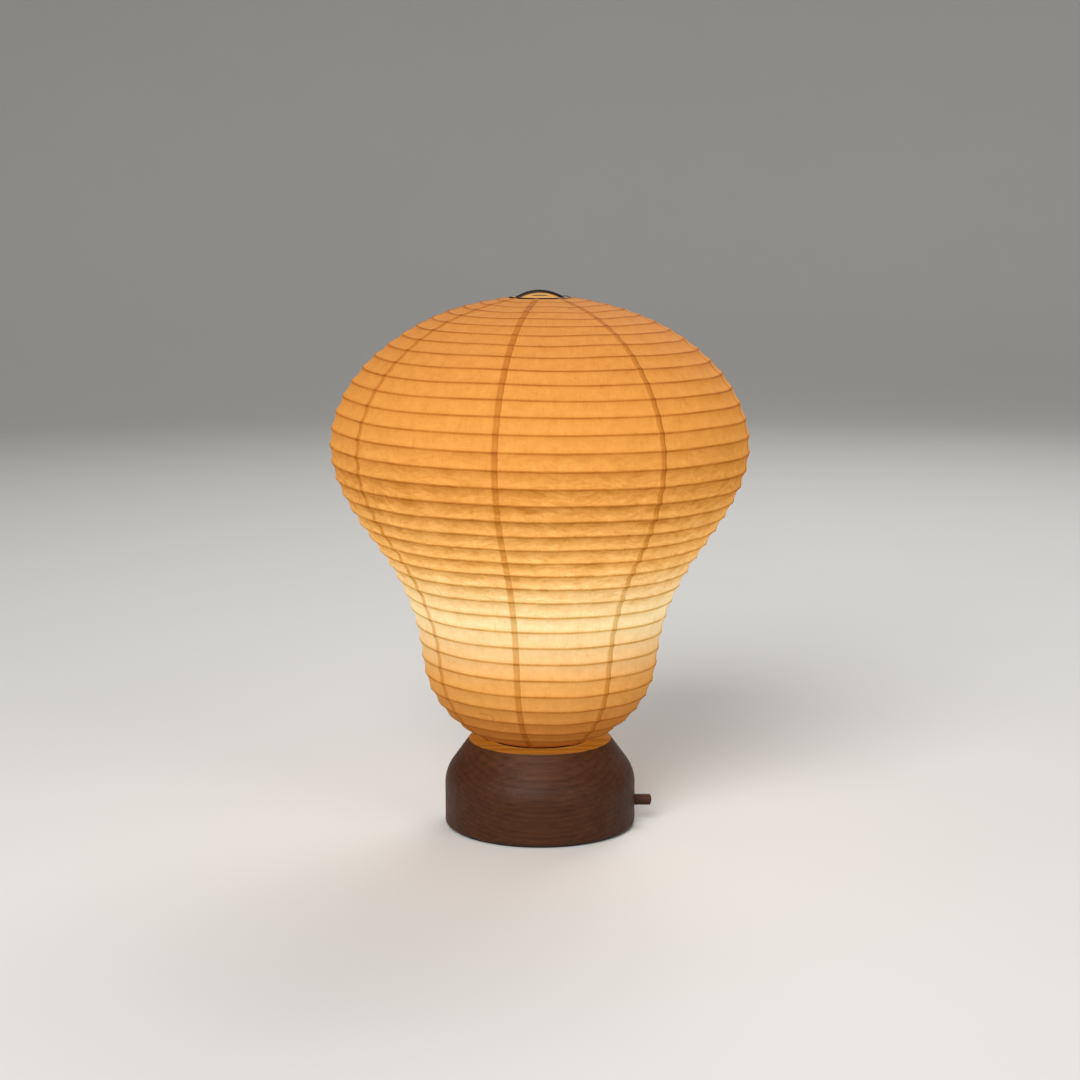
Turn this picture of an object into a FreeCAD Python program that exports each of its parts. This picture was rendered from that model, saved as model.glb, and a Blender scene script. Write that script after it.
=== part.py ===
import FreeCAD, Part
import math
import os

# Paper table lamp: a gourd-shaped paper shade on a wire spiral, carried by a wire harp that
# stands in a turned wooden base. Millimetres, +Z up, the table is z = 0, the lamp's axis is the
# Z axis, the switch peg points along +X and the cord inlet along +Y.

# Turned wooden base
BASE_R = 50.0             # straight lower side
BASE_SIDE_Z = 22.0        # height at which the straight side ends
SHOULDER_R = 20.0         # rounding from the side into the sloping shoulder
BASE_TOP_R = 37.3         # flat top
BASE_TOP_Z = 46.0
BASE_EDGE_R = 1.5         # eased bottom edge
CAVITY_R = 36.0           # hollow turned from below
BASE_TOP_WALL = 14.0      # wood left over the hollow
FIT_GAP = 0.05            # parts pushed or screwed together
MOVE_GAP = 0.35           # parts that slide past each other

# Underside
FELT_T = 1.0              # felt ring that the lamp stands on
FELT_W = 3.6
FELT_INSET = 0.8          # from the eased edge
COVER_GAP = 1.1           # between the felt and the bottom cover, which is let into a rabbet
COVER_T = 3.0
COVER_SCREWS = 3
COVER_SCREW_EDGE = 3.4    # from the cover's edge
COVER_SCREW_ANGLE = 60.0
COVER_SCREW_R = 1.5
COVER_SCREW_L = 11.0
SCREW_HEAD_R = 2.9
SCREW_HEAD_H = 1.7
BALLAST_GAP = 2.5         # between the ballast and the switch
BALLAST_T = 6.0
BALLAST_BOLT_R = 2.0

# Cord inlet at the back and the terminal block behind it
INLET_Z = 12.0
INLET_BORE_R = 3.3
INLET_WALL = 1.6
INLET_FLANGE_R = 6.6
INLET_FLANGE_T = 2.0
INLET_SPOT_FACE = 1.0     # depth of the flat milled for the flange
BLOCK_L = 20.0
BLOCK_W = 11.0
BLOCK_H = 10.0
BLOCK_Y = 15.0
BLOCK_POLES = 2
BLOCK_SCREW_R = 1.9
BLOCK_SCREW_H = 3.0
BLOCK_WELL_D = 4.5

# Push switch and its wooden peg
PEG_R = 2.9
PEG_Z = 12.0
PEG_OUT = 9.0             # how far it stands out of the base
PEG_TRAVEL = 3.0
PEG_DOME = 0.9
PEG_SOCKET_D = 4.0        # depth of the plunger's seat in the peg
SWITCH_L = 14.0
SWITCH_W = 16.0
SWITCH_H = 15.0
SWITCH_EAR_W = 26.0
SWITCH_EAR_T = 2.0
SWITCH_WALL = 9.5         # wood left in front of the switch
SWITCH_SCREW_Y = 10.5
SWITCH_SCREW_R = 1.1
SWITCH_SCREW_L = 7.0
SWITCH_SCREW_HEAD_R = 2.0
SWITCH_SCREW_HEAD_H = 1.4
PLUNGER_R = 1.6
PLUNGER_IN = 6.5          # length inside the switch body at rest

# Threaded nipple that carries the lamp holder
NIPPLE_R = 5.0
NIPPLE_BORE_R = 3.6
NIPPLE_BELOW = 8.0        # length under the wood
WASHER_R = 11.0
WASHER_T = 1.5
NUT_AF = 14.0
NUT_T = 4.5
COLLAR_R = 9.0
COLLAR_T = 3.0

# Lamp holder
HOLDER_R = 13.0
HOLDER_H = 35.0
HOLDER_WALL = 1.8
HOLDER_FLOOR = 5.0
HOLDER_RIM_R = 0.8
HOLDER_STEP_H = 4.0       # room under the insulator for the nut and the leads
HOLDER_STEP_W = 1.4
HOLDER_NUT_R = 7.5
HOLDER_NUT_T = 2.5
INSULATOR_T = 4.0
SHELL_H = 18.0            # screw shell
SHELL_T = 0.5
SHELL_LIP = 1.6
TONGUE_W = 4.0
TONGUE_T = 0.5
TONGUE_L = 11.0
TONGUE_RISE = 2.4

# Bulb, small screw cap
CAP_R = 8.3
CAP_H = 14.5
CAP_T = 0.6
TIP_R = 2.4
TIP_H = 1.3
CAP_CONE_H = 2.5
CAP_CONE_R = 3.0
HOUSING_H = 24.0
HOUSING_R = 17.3
HOUSING_NECK_R = 9.0
HOUSING_NECK_H = 3.0
HOUSING_WALL = 1.5
HOUSING_SPIGOT = 7.0      # length of the neck inside the cap
GLOBE_SIDE_H = 6.6
GLOBE_WALL = 1.2
BOARD_T = 1.6
BOARD_SEAT = 1.2          # how far the board's seat lies under the housing rim
LEDS = 8
LED_RING_R = 9.0
LED_L = 3.0
LED_H = 0.8
DRIVER_W = 11.0
DRIVER_T = 1.6
DRIVER_H = 17.0

# Inner leads
LEAD_R = 1.0
LEAD_BEND_R = 3.0
LEAD_STUB = 4.0           # straight length at a terminal
LEAD_SPACE = 1.7          # half the distance of the two leads in the nipple
LEAD_Z = 16.0

# Shade former: radius and height of the paper's outer face, from the top ring to the bottom ring
TOP_RING_R = 15.2
TOP_RING_WIRE_R = 0.8
BOTTOM_RING_R = 26.5
BOTTOM_RING_WIRE_R = 1.0
CROWN_R, CROWN_Z = 56.0, 266.0
SHOULDER_PAPER_R, SHOULDER_PAPER_Z = 90.6, 242.0
BELLY_R, BELLY_Z = 108.0, 203.0
UNDER_R, UNDER_Z = 98.4, 170.0
TAPER_R, TAPER_Z = 75.0, 134.0
NECK_R, NECK_Z = 63.2, 101.0
HIP_R, HIP_Z = 58.5, 77.0
BOWL_R, BOWL_Z = 43.8, 56.0
TOP_EDGE_Z = 276.5
PAPER_T = 0.3
PANELS = 8
SEAM_ANGLE = 32.4         # of the first seam, from +X
LAP_W = 3.5               # how far a panel laps over the next
LAP_ROOT = 1.0            # glued width of the lap on its own panel

# Wire spiral inside the paper, left-handed, at a steady distance along the former
WIRE_R = 0.5
SPIRAL_PITCH = 8.72
SPIRAL_START = 1.0        # distance along the former from the top edge
SPIRAL_END = 1.4          # distance from the bottom edge
SPIRAL_START_ANGLE = 341.0
STEPS_PER_TURN = 2
WIRE_SIDES = 4

# Wire harp, an upside-down U whose round top stands out of the top ring and carries it
ROD_R = 1.3
HARP_R = 21.5             # of the round top, and half the distance of the legs
FERRULE_WALL = 1.2
FERRULE_H = 11.0
FERRULE_FLOOR = 1.5

# Heights and places that follow from the sizes above
FELT_R = BASE_R - BASE_EDGE_R - FELT_INSET
COVER_R = FELT_R - FELT_W - COVER_GAP
COVER_SCREW_PCR = COVER_R - COVER_SCREW_EDGE
COVER_TOP_Z = FELT_T + COVER_T
CEILING_Z = BASE_TOP_Z - BASE_TOP_WALL
BALLAST_TOP_Z = COVER_TOP_Z + BALLAST_T
SWITCH_FACE_X = BASE_R - SWITCH_WALL
BALLAST_R = SWITCH_FACE_X - SWITCH_L - BALLAST_GAP
PEG_BACK_X = SWITCH_FACE_X + PEG_TRAVEL + 2 * MOVE_GAP
HOLDER_Z = BASE_TOP_Z + COLLAR_T
HOLDER_FLOOR_Z = HOLDER_Z + HOLDER_FLOOR
INSULATOR_Z = HOLDER_FLOOR_Z + HOLDER_STEP_H
SHELL_Z = INSULATOR_Z + INSULATOR_T
SHELL_IN_R = CAP_R + MOVE_GAP
TIP_Z = SHELL_Z + TONGUE_RISE + TONGUE_T + MOVE_GAP
CAP_Z = TIP_Z + TIP_H + CAP_CONE_H
HOUSING_Z = CAP_Z + CAP_H
HOUSING_RIM_Z = HOUSING_Z + HOUSING_H
BOARD_Z = HOUSING_RIM_Z - BOARD_SEAT
BOARD_R = HOUSING_R - HOUSING_WALL - FIT_GAP
BOTTOM_RING_Z = BASE_TOP_Z + MOVE_GAP + BOTTOM_RING_WIRE_R
TOP_RING_Z = TOP_EDGE_Z - TOP_RING_WIRE_R + 2 * PAPER_T
HARP_SEAT_R = HARP_R + ROD_R + MOVE_GAP + TOP_RING_WIRE_R
HARP_BEND_Z = TOP_RING_Z - math.sqrt(HARP_SEAT_R ** 2 - TOP_RING_R ** 2)
FERRULE_BORE_R = ROD_R + MOVE_GAP
FERRULE_R = FERRULE_BORE_R + FERRULE_WALL
FERRULE_Z = BASE_TOP_Z - FERRULE_H
HARP_FOOT_Z = FERRULE_Z + FERRULE_FLOOR + FIT_GAP

V = FreeCAD.Vector
ORIGIN = V(0, 0, 0)
UP = V(0, 0, 1)


def disc(radius, low, high, x=0.0, y=0.0):
    """Upright round bar between two heights."""
    return Part.makeCylinder(radius, high - low, V(x, y, low))


def bar(radius, start, end):
    """Round bar from one point to another."""
    return Part.makeCylinder(radius, (end - start).Length, start, end - start)


def block(low, high):
    """Box between two corners."""
    size = high - low
    return Part.makeBox(size.x, size.y, size.z, low)


def outline(corners):
    """Closed outline through (radius, height) corners."""
    points = [V(r, 0, z) for r, z in corners]
    return Part.makePolygon(points + points[:1])


def turned(wire, angle=360.0):
    """Solid turned about the lamp's axis from a closed outline in the XZ plane."""
    return Part.Face(wire).revolve(ORIGIN, UP, angle)


def around(shape, count, first_angle=0.0):
    """The same solid repeated about the lamp's axis."""
    copies = []
    for k in range(count):
        copy = shape.copy()
        copy.rotate(ORIGIN, UP, first_angle + 360.0 * k / count)
        copies.append(copy)
    return Part.makeCompound(copies)


def bent(corners, bend_r):
    """Path of straight runs through the corners, joined by tangent arcs."""
    edges = []
    start = corners[0]
    for before, corner, after in zip(corners, corners[1:], corners[2:]):
        back = (before - corner).normalize()
        ahead = (after - corner).normalize()
        half = back.getAngle(ahead) / 2
        leg = bend_r / math.tan(half)
        middle = (back + ahead).normalize() * (bend_r / math.sin(half) - bend_r)
        first, last = corner + back * leg, corner + ahead * leg
        edges.append(Part.LineSegment(start, first).toShape())
        edges.append(Part.Arc(first, corner + middle, last).toShape())
        start = last
    edges.append(Part.LineSegment(start, corners[-1]).toShape())
    return Part.Wire(edges)


def tube(path, radius, sides=0):
    """Rod along a smooth path, round or with a number of flat sides."""
    first = path.OrderedEdges[0]
    start = first.valueAt(first.FirstParameter)
    circle = Part.makeCircle(radius, start, first.tangentAt(first.FirstParameter))
    section = Part.Wire(circle)
    if sides:
        corners = [circle.valueAt(2 * math.pi * k / sides) for k in range(sides)]
        section = Part.makePolygon(corners + corners[:1])
    return path.makePipeShell([section], True, False)


def wooden_base():
    """Turned block: straight side, rounded shoulder and flat top, hollowed from below and bored."""
    centre = V(BASE_R - SHOULDER_R, 0, BASE_SIDE_Z)
    edge = V(BASE_TOP_R, 0, BASE_TOP_Z)
    reach = (edge - centre).Length
    turn = math.atan2(edge.z - centre.z, edge.x - centre.x) - math.acos(SHOULDER_R / reach)
    round_mid, round_end = (
        centre + V(math.cos(a), 0, math.sin(a)) * SHOULDER_R for a in (turn / 2, turn)
    )
    ease = V(BASE_R - BASE_EDGE_R, 0, FELT_T + BASE_EDGE_R)
    ease_mid = ease + V(1, 0, -1).normalize() * BASE_EDGE_R
    foot, axis_foot, axis_top = V(ease.x, 0, FELT_T), V(0, 0, FELT_T), V(0, 0, BASE_TOP_Z)
    side_low, side_high = V(BASE_R, 0, ease.z), V(BASE_R, 0, BASE_SIDE_Z)
    wire = Part.Wire([
        Part.LineSegment(axis_foot, foot).toShape(),
        Part.Arc(foot, ease_mid, side_low).toShape(),
        Part.LineSegment(side_low, side_high).toShape(),
        Part.Arc(side_high, round_mid, round_end).toShape(),
        Part.LineSegment(round_end, edge).toShape(),
        Part.LineSegment(edge, axis_top).toShape(),
        Part.LineSegment(axis_top, axis_foot).toShape(),
    ])
    body = turned(wire)
    inlet_r = INLET_BORE_R + INLET_WALL + FIT_GAP
    spot_y = BASE_R - INLET_SPOT_FACE
    pocket_w = SWITCH_EAR_W / 2 + MOVE_GAP
    pocket_h = SWITCH_H / 2 + MOVE_GAP
    cuts = [
        disc(COVER_R + FIT_GAP, FELT_T, COVER_TOP_Z),
        disc(CAVITY_R, COVER_TOP_Z, CEILING_Z),
        disc(NIPPLE_R + FIT_GAP, CEILING_Z, BASE_TOP_Z),
        bar(inlet_r, V(0, CAVITY_R / 2, INLET_Z), V(0, BASE_R, INLET_Z)),
        bar(INLET_FLANGE_R + FIT_GAP, V(0, spot_y, INLET_Z), V(0, BASE_R + INLET_FLANGE_T, INLET_Z)),
        block(V(CAVITY_R / 2, -pocket_w, COVER_TOP_Z), V(SWITCH_FACE_X, pocket_w, PEG_Z + pocket_h)),
        bar(PEG_R + MOVE_GAP, V(CAVITY_R / 2, 0, PEG_Z), V(BASE_R + PEG_OUT, 0, PEG_Z)),
    ]
    for side in (1, -1):
        cuts.append(disc(FERRULE_R + FIT_GAP, FERRULE_Z, BASE_TOP_Z, side * HARP_R))
        hole = V(SWITCH_FACE_X, side * SWITCH_SCREW_Y, PEG_Z)
        cuts.append(bar(SWITCH_SCREW_R + FIT_GAP, hole, hole + V(SWITCH_SCREW_L - SWITCH_EAR_T, 0, 0)))
    pilot = disc(COVER_SCREW_R + FIT_GAP, FELT_T, FELT_T + COVER_SCREW_L + FIT_GAP, COVER_SCREW_PCR)
    cuts += around(pilot, COVER_SCREWS, COVER_SCREW_ANGLE).Solids
    return body.cut(cuts)


def felt_ring():
    return disc(FELT_R, 0, FELT_T).cut(disc(FELT_R - FELT_W, 0, FELT_T))


def countersunk(radius, length, x=0.0):
    """Flat-headed screw pointing up, its head level with the wood's underside."""
    head = Part.makeCone(SCREW_HEAD_R, radius, SCREW_HEAD_H, V(x, 0, FELT_T))
    return head.fuse(disc(radius, FELT_T, FELT_T + length, x)).removeSplitter()


def cover_screws():
    screw = countersunk(COVER_SCREW_R, COVER_SCREW_L, COVER_SCREW_PCR)
    return around(screw, COVER_SCREWS, COVER_SCREW_ANGLE)


def ballast_bolt():
    return countersunk(BALLAST_BOLT_R, COVER_T + BALLAST_T)


def bottom_cover():
    """Disc let into the base's rabbet, countersunk for its screws and for the ballast's bolt."""
    cover = disc(COVER_R, FELT_T, COVER_TOP_Z)
    screw = countersunk(COVER_SCREW_R + FIT_GAP, COVER_SCREW_L, COVER_SCREW_PCR)
    holes = around(screw, COVER_SCREWS, COVER_SCREW_ANGLE).Solids
    return cover.cut(holes + [countersunk(BALLAST_BOLT_R + FIT_GAP, COVER_T)])


def ballast_disc():
    hole = disc(BALLAST_BOLT_R + FIT_GAP, COVER_TOP_Z, BALLAST_TOP_Z)
    return disc(BALLAST_R, COVER_TOP_Z, BALLAST_TOP_Z).cut(hole)


def cord_bushing():
    """Flanged sleeve in the back wall, open right through for the mains lead."""
    spot_y = BASE_R - INLET_SPOT_FACE
    sleeve = bar(INLET_BORE_R + INLET_WALL, V(0, CAVITY_R, INLET_Z), V(0, spot_y, INLET_Z))
    flange = bar(INLET_FLANGE_R, V(0, spot_y, INLET_Z), V(0, spot_y + INLET_FLANGE_T, INLET_Z))
    bore = bar(INLET_BORE_R, V(0, CAVITY_R, INLET_Z), V(0, spot_y + INLET_FLANGE_T, INLET_Z))
    return sleeve.fuse(flange).cut(bore).removeSplitter()


def pole_x(pole):
    """Place of one of the terminal block's poles along the block."""
    return ((pole + 0.5) / BLOCK_POLES - 0.5) * BLOCK_L


def terminal_block():
    top = BALLAST_TOP_Z + BLOCK_H
    low = V(-BLOCK_L / 2, BLOCK_Y - BLOCK_W / 2, BALLAST_TOP_Z)
    body = block(low, V(BLOCK_L / 2, BLOCK_Y + BLOCK_W / 2, top))
    well_r = BLOCK_SCREW_R + FIT_GAP
    wells = [disc(well_r, top - BLOCK_WELL_D, top, pole_x(k), BLOCK_Y) for k in range(BLOCK_POLES)]
    return body.cut(wells)


def terminal_screws():
    floor = BALLAST_TOP_Z + BLOCK_H - BLOCK_WELL_D
    return Part.makeCompound([
        disc(BLOCK_SCREW_R, floor, floor + BLOCK_SCREW_H, pole_x(k), BLOCK_Y) for k in range(BLOCK_POLES)
    ])


def switch_body():
    """Box with two ears against the pocket's face, bored for the plunger."""
    back = V(SWITCH_FACE_X - SWITCH_L, -SWITCH_W / 2, PEG_Z - SWITCH_H / 2)
    front = V(SWITCH_FACE_X, SWITCH_W / 2, PEG_Z + SWITCH_H / 2)
    ear_low = V(SWITCH_FACE_X - SWITCH_EAR_T, -SWITCH_EAR_W / 2, back.z)
    ear_high = V(SWITCH_FACE_X, SWITCH_EAR_W / 2, front.z)
    body = block(back, front).fuse(block(ear_low, ear_high)).removeSplitter()
    bore_depth = PLUNGER_IN + PEG_TRAVEL + MOVE_GAP
    mouth = V(SWITCH_FACE_X, 0, PEG_Z)
    cuts = [bar(PLUNGER_R + MOVE_GAP, mouth - V(bore_depth, 0, 0), mouth)]
    for side in (1, -1):
        hole = V(SWITCH_FACE_X, side * SWITCH_SCREW_Y, PEG_Z)
        cuts.append(bar(SWITCH_SCREW_R + FIT_GAP, hole - V(SWITCH_EAR_T, 0, 0), hole))
    return body.cut(cuts)


def switch_screws():
    screws = []
    for side in (1, -1):
        seat = V(SWITCH_FACE_X - SWITCH_EAR_T, side * SWITCH_SCREW_Y, PEG_Z)
        head = bar(SWITCH_SCREW_HEAD_R, seat - V(SWITCH_SCREW_HEAD_H, 0, 0), seat)
        shank = bar(SWITCH_SCREW_R, seat, seat + V(SWITCH_SCREW_L, 0, 0))
        screws.append(head.fuse(shank).removeSplitter())
    return Part.makeCompound(screws)


def switch_peg():
    """Dowel with a domed end, bored for the plunger."""
    end = BASE_R + PEG_OUT
    rise = PEG_DOME
    dome_r = (PEG_R ** 2 + rise ** 2) / (2 * rise)
    lean = math.asin(PEG_R / dome_r) / 2
    shoulder = V(end - rise, PEG_R, PEG_Z)
    crown = V(end, 0, PEG_Z)
    between = V(end - dome_r * (1 - math.cos(lean)), dome_r * math.sin(lean), PEG_Z)
    back, root = V(PEG_BACK_X, PEG_R, PEG_Z), V(PEG_BACK_X, 0, PEG_Z)
    wire = Part.Wire([
        Part.LineSegment(root, back).toShape(),
        Part.LineSegment(back, shoulder).toShape(),
        Part.Arc(shoulder, between, crown).toShape(),
        Part.LineSegment(crown, root).toShape(),
    ])
    peg = Part.Face(wire).revolve(root, V(1, 0, 0), 360)
    return peg.cut(bar(PLUNGER_R + FIT_GAP, root, root + V(PEG_SOCKET_D, 0, 0)))


def switch_plunger():
    inner = V(SWITCH_FACE_X - PLUNGER_IN, 0, PEG_Z)
    return bar(PLUNGER_R, inner, V(PEG_BACK_X + PEG_SOCKET_D, 0, PEG_Z))


def nipple():
    low = CEILING_Z - NIPPLE_BELOW
    high = HOLDER_FLOOR_Z + HOLDER_NUT_T
    return disc(NIPPLE_R, low, high).cut(disc(NIPPLE_BORE_R, low, high))


def nipple_washer():
    low = CEILING_Z - WASHER_T
    return disc(WASHER_R, low, CEILING_Z).cut(disc(NIPPLE_R + FIT_GAP, low, CEILING_Z))


def nipple_nut():
    high = CEILING_Z - WASHER_T
    low = high - NUT_T
    corner_r = NUT_AF / math.sqrt(3)
    turns = [math.radians(60 * k) for k in range(6)]
    corners = [V(corner_r * math.cos(a), corner_r * math.sin(a), low) for a in turns]
    hexagon = Part.Face(Part.makePolygon(corners + corners[:1])).extrude(V(0, 0, NUT_T))
    return hexagon.cut(disc(NIPPLE_R + FIT_GAP, low, high))


def nipple_collar():
    return disc(COLLAR_R, BASE_TOP_Z, HOLDER_Z).cut(disc(NIPPLE_R + FIT_GAP, BASE_TOP_Z, HOLDER_Z))


def holder_nut():
    high = HOLDER_FLOOR_Z + HOLDER_NUT_T
    return disc(HOLDER_NUT_R, HOLDER_FLOOR_Z, high).cut(disc(NIPPLE_R + FIT_GAP, HOLDER_FLOOR_Z, high))


def holder_cup():
    """Moulded cup with a step that carries the insulator."""
    top = HOLDER_Z + HOLDER_H
    inner = HOLDER_R - HOLDER_WALL
    step = inner - HOLDER_STEP_W
    bore = NIPPLE_R + FIT_GAP
    cup = turned(outline([
        (bore, HOLDER_Z), (HOLDER_R, HOLDER_Z), (HOLDER_R, top), (inner, top),
        (inner, INSULATOR_Z), (step, INSULATOR_Z), (step, HOLDER_FLOOR_Z), (bore, HOLDER_FLOOR_Z),
    ]))
    rims = [e for e in cup.Edges if e.BoundBox.ZMin > top - FIT_GAP and e.BoundBox.XLength > inner]
    return cup.makeFillet(HOLDER_RIM_R, rims)


def holder_insulator():
    return disc(HOLDER_R - HOLDER_WALL - FIT_GAP, INSULATOR_Z, SHELL_Z)


def holder_shell():
    """Screw shell with a lip on the insulator."""
    wall = SHELL_IN_R + SHELL_T
    lip = SHELL_IN_R + SHELL_LIP
    return turned(outline([
        (SHELL_IN_R, SHELL_Z), (lip, SHELL_Z), (lip, SHELL_Z + SHELL_T), (wall, SHELL_Z + SHELL_T),
        (wall, SHELL_Z + SHELL_H), (SHELL_IN_R, SHELL_Z + SHELL_H),
    ]))


def holder_tongue():
    """Centre contact: a bent strip with its free end under the bulb's tip."""
    foot, toe = -TONGUE_L / 2, TONGUE_L / 4
    heel, bend = foot + TONGUE_L / 3, -TIP_R / 2
    low, high = SHELL_Z, SHELL_Z + TONGUE_RISE
    side = [
        V(foot, 0, low), V(heel, 0, low), V(bend, 0, high), V(toe, 0, high),
        V(toe, 0, high + TONGUE_T), V(bend - TONGUE_T / 2, 0, high + TONGUE_T),
        V(heel - TONGUE_T / 2, 0, low + TONGUE_T), V(foot, 0, low + TONGUE_T),
    ]
    strip = Part.Face(Part.makePolygon(side + side[:1])).extrude(V(0, TONGUE_W, 0))
    strip.translate(V(0, -TONGUE_W / 2, 0))
    return strip


def bulb_tip():
    middle, top = TIP_Z + TIP_H / 2, TIP_Z + TIP_H
    return turned(outline([(0, TIP_Z), (TIP_R / 2, TIP_Z), (TIP_R, middle), (TIP_R, top), (0, top)]))


def bulb_insulator():
    low = TIP_Z + TIP_H
    return Part.makeCone(CAP_CONE_R, CAP_R - CAP_T, CAP_CONE_H, V(0, 0, low))


def bulb_cap():
    """Screw cap, open at both ends: the insulator closes it below and the housing's neck above."""
    return disc(CAP_R, CAP_Z, HOUSING_Z).cut(disc(CAP_R - CAP_T, CAP_Z, HOUSING_Z))


def bulb_housing():
    """Flared plastic body, its neck pushed into the cap and a seat for the light board at its rim."""
    spigot = CAP_R - CAP_T - FIT_GAP
    spigot_z = HOUSING_Z - HOUSING_SPIGOT
    neck_z = HOUSING_Z + HOUSING_NECK_H
    inner_neck = spigot - HOUSING_WALL
    rim, seat, seat_z = BOARD_R + FIT_GAP, BOARD_R - HOUSING_WALL, BOARD_Z - BOARD_T
    return turned(outline([
        (inner_neck, spigot_z), (spigot, spigot_z), (spigot, HOUSING_Z),
        (HOUSING_NECK_R, HOUSING_Z), (HOUSING_NECK_R, neck_z), (HOUSING_R, HOUSING_RIM_Z),
        (rim, HOUSING_RIM_Z), (rim, seat_z), (seat, seat_z), (inner_neck, neck_z),
    ]))


def bulb_board():
    return disc(BOARD_R, BOARD_Z - BOARD_T, BOARD_Z)


def bulb_leds():
    half = LED_L / 2
    chip = block(V(LED_RING_R - half, -half, BOARD_Z), V(LED_RING_R + half, half, BOARD_Z + LED_H))
    return around(chip, LEDS)


def bulb_driver():
    """Circuit board on edge under the light board."""
    high = BOARD_Z - BOARD_T
    low = V(-DRIVER_W / 2, -DRIVER_T / 2, high - DRIVER_H)
    return block(low, V(DRIVER_W / 2, DRIVER_T / 2, high))


def bulb_globe():
    """Opal dome standing on the housing's rim."""
    spring_z = HOUSING_RIM_Z + GLOBE_SIDE_H
    inner_r = HOUSING_R - GLOBE_WALL
    slant = math.sqrt(0.5)
    edges = []
    for radius in (HOUSING_R, inner_r):
        side, crown = V(radius, 0, spring_z), V(0, 0, spring_z + radius)
        between = V(radius * slant, 0, spring_z + radius * slant)
        edges.append(Part.LineSegment(V(radius, 0, HOUSING_RIM_Z), side).toShape())
        edges.append(Part.Arc(side, between, crown).toShape())
    edges.append(Part.LineSegment(V(inner_r, 0, HOUSING_RIM_Z), V(HOUSING_R, 0, HOUSING_RIM_Z)).toShape())
    edges.append(Part.LineSegment(V(0, 0, spring_z + inner_r), V(0, 0, spring_z + HOUSING_R)).toShape())
    return turned(Part.Wire(Part.sortEdges(edges)[0]))


def lead_up(x, start, out):
    """Insulated wire from a terminal to the nipple and up through it to the holder's insulator."""
    path = bent([start, start + out * LEAD_STUB, V(x, 0, LEAD_Z), V(x, 0, INSULATOR_Z)], LEAD_BEND_R)
    return tube(path, LEAD_R)


def lead_neutral():
    return lead_up(-LEAD_SPACE, V(pole_x(0), BLOCK_Y - BLOCK_W / 2, LEAD_Z), V(0, -1, 0))


def lead_switched():
    return lead_up(LEAD_SPACE, V(SWITCH_FACE_X - SWITCH_L, -SWITCH_W / 4, LEAD_Z), V(-1, 0, 0))


def lead_live():
    """Insulated wire from the terminal block to the switch."""
    start = V(BLOCK_L / 2, BLOCK_Y, LEAD_Z)
    end = V(SWITCH_FACE_X - SWITCH_L, SWITCH_W / 4, LEAD_Z)
    middle = (start.x + end.x) / 2
    path = bent([start, V(middle, start.y, LEAD_Z), V(middle, end.y, LEAD_Z), end], LEAD_BEND_R)
    return tube(path, LEAD_R)


def harp_ferrules():
    """Two blind sockets let into the base's top for the harp's feet."""
    ferrules = []
    for side in (1, -1):
        x = side * HARP_R
        bore = disc(FERRULE_BORE_R, FERRULE_Z + FERRULE_FLOOR, BASE_TOP_Z, x)
        ferrules.append(disc(FERRULE_R, FERRULE_Z, BASE_TOP_Z, x).cut(bore))
    return Part.makeCompound(ferrules)


def harp():
    """One bent rod: two legs beside the bulb and a half-round top, on whose flanks the top ring sits."""
    left, right = V(-HARP_R, 0, HARP_BEND_Z), V(HARP_R, 0, HARP_BEND_Z)
    path = Part.Wire([
        Part.LineSegment(V(-HARP_R, 0, HARP_FOOT_Z), left).toShape(),
        Part.Arc(left, V(0, 0, HARP_BEND_Z + HARP_R), right).toShape(),
        Part.LineSegment(right, V(HARP_R, 0, HARP_FOOT_Z)).toShape(),
    ])
    return tube(path, ROD_R)


def ring(radius, wire_r, z):
    return Part.makeTorus(radius, wire_r, V(0, 0, z), UP)


def top_ring():
    return ring(TOP_RING_R, TOP_RING_WIRE_R, TOP_RING_Z)


def bottom_ring():
    return ring(BOTTOM_RING_R, BOTTOM_RING_WIRE_R, BOTTOM_RING_Z)


STATIONS = [
    (TOP_RING_R + TOP_RING_WIRE_R + FIT_GAP, TOP_EDGE_Z), (CROWN_R, CROWN_Z),
    (SHOULDER_PAPER_R, SHOULDER_PAPER_Z), (BELLY_R, BELLY_Z), (UNDER_R, UNDER_Z), (TAPER_R, TAPER_Z),
    (NECK_R, NECK_Z), (HIP_R, HIP_Z), (BOWL_R, BOWL_Z),
    (BOTTOM_RING_R + BOTTOM_RING_WIRE_R + FIT_GAP, BOTTOM_RING_Z),
]
FORMER = Part.BSplineCurve()
FORMER.interpolate([V(r, 0, z) for r, z in STATIONS])
FORMER_LENGTH = FORMER.length(FORMER.FirstParameter, FORMER.LastParameter)


def off_former(parameter, inward):
    """Point of the former, moved square to the paper towards the inside."""
    along = FORMER.tangent(parameter)[0]
    return FORMER.value(parameter) + V(along.z, 0, -along.x).normalize() * inward


def beside_former(inward):
    """Copy of the former moved square to the paper."""
    curve = Part.BSplineCurve()
    curve.interpolate([off_former(FORMER.parameter(V(r, 0, z)), inward) for r, z in STATIONS])
    return curve


def paper_layer(inner, outer, angle):
    """Sheet of paper between two curves, turned through an angle from the XZ plane."""
    ends = [
        Part.LineSegment(a, b).toShape() for a, b in (
            (inner.StartPoint, outer.StartPoint), (inner.EndPoint, outer.EndPoint))
    ]
    wire = Part.Wire(Part.sortEdges([inner.toShape(), outer.toShape()] + ends)[0])
    return turned(wire, angle)


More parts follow.
